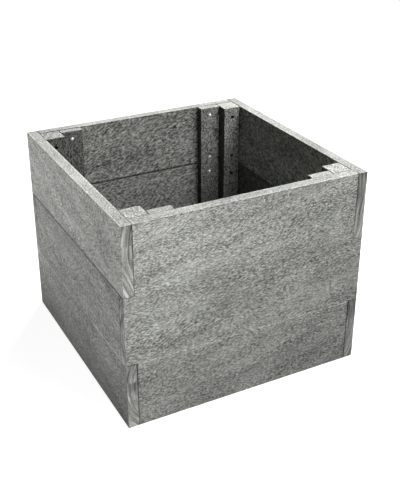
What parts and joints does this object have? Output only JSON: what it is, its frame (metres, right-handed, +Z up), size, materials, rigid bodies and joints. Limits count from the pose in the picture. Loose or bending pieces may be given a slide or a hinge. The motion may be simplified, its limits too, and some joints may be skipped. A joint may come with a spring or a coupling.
{
  "type": "planter box",
  "caption": "Square open-topped timber planter of stacked boards with corner posts, battens, bearers and a slatted floor.",
  "frame": {"origin": "centre of the underside, on the ground", "axes": "+Z up, front wall towards -Y, +X to the right seen from the front"},
  "size_m": [0.5, 0.5, 0.4116],
  "materials": {
    "board": "grey weathered hardwood, open pores, matt",
    "frame_timber": "grey planed timber, matt",
    "floor_timber": "grey sawn timber, matt",
    "screw": "bright stainless steel, countersunk"
  },
  "bodies": {
    "root": {"front_board_bottom": "board", "back_board_bottom": "board", "left_board_bottom": "board", "right_board_bottom": "board", "front_board_middle": "board", "back_board_middle": "board", "left_board_middle": "board", "right_board_middle": "board", "front_board_top": "board", "back_board_top": "board", "left_board_top": "board", "right_board_top": "board", "front_left_post": "frame_timber", "front_left_batten": "frame_timber", "front_right_post": "frame_timber", "front_right_batten": "frame_timber", "back_left_post": "frame_timber", "back_left_batten": "frame_timber", "back_right_post": "frame_timber", "back_right_batten": "frame_timber", "left_bearer": "floor_timber", "right_bearer": "floor_timber", "floor_slat_1": "floor_timber", "floor_slat_2": "floor_timber", "floor_slat_3": "floor_timber", "floor_slat_4": "floor_timber", "floor_slat_5": "floor_timber", "front_left_batten_screw_1": "screw", "front_left_batten_screw_2": "screw", "front_left_batten_screw_3": "screw", "front_left_batten_screw_4": "screw", "front_left_batten_screw_5": "screw", "front_left_batten_screw_6": "screw", "front_right_batten_screw_1": "screw", "front_right_batten_screw_2": "screw", "front_right_batten_screw_3": "screw", "front_right_batten_screw_4": "screw", "front_right_batten_screw_5": "screw", "front_right_batten_screw_6": "screw", "back_left_batten_screw_1": "screw", "back_left_batten_screw_2": "screw", "back_left_batten_screw_3": "screw", "back_left_batten_screw_4": "screw", "back_left_batten_screw_5": "screw", "back_left_batten_screw_6": "screw", "back_right_batten_screw_1": "screw", "back_right_batten_screw_2": "screw", "back_right_batten_screw_3": "screw", "back_right_batten_screw_4": "screw", "back_right_batten_screw_5": "screw", "back_right_batten_screw_6": "screw", "left_bearer_screw_1": "screw", "left_bearer_screw_2": "screw", "left_bearer_screw_3": "screw", "right_bearer_screw_1": "screw", "right_bearer_screw_2": "screw", "right_bearer_screw_3": "screw"}
  },
  "joints": []
}
